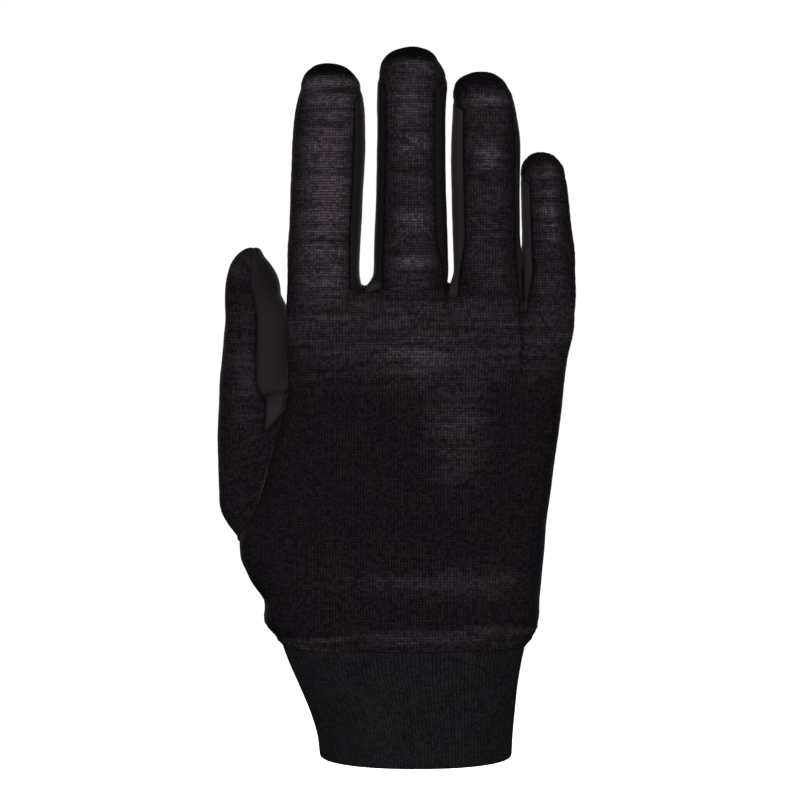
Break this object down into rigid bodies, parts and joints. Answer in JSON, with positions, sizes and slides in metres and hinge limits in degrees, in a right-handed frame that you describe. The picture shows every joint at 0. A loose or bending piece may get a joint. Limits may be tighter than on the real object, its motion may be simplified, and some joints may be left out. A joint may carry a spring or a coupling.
{
  "type": "glove liner",
  "caption": "Fine knitted glove liner for the right hand with a ribbed cuff, shaped as worn, hollow from the wrist to every fingertip.",
  "frame": {"origin": "centre of the cuff's mouth, where the wrist goes in and the liner is held", "axes": "+Z from the wrist up to the fingertips; the back of the hand faces -Y, the palm +Y and the thumb is on the -X side"},
  "size_m": [0.1221, 0.0563, 0.2364],
  "materials": {
    "hand_knit": "matte",
    "smooth_knit": "matte",
    "rib_knit": "matte"
  },
  "bodies": {
    "root": {"back_panel": "hand_knit", "palm_panel": "hand_knit", "fourchette_index_middle": "smooth_knit", "fourchette_middle_ring": "smooth_knit", "fourchette_ring_little": "smooth_knit", "thumb_back": "hand_knit", "thumb_front": "smooth_knit", "cuff": "rib_knit"}
  },
  "joints": []
}
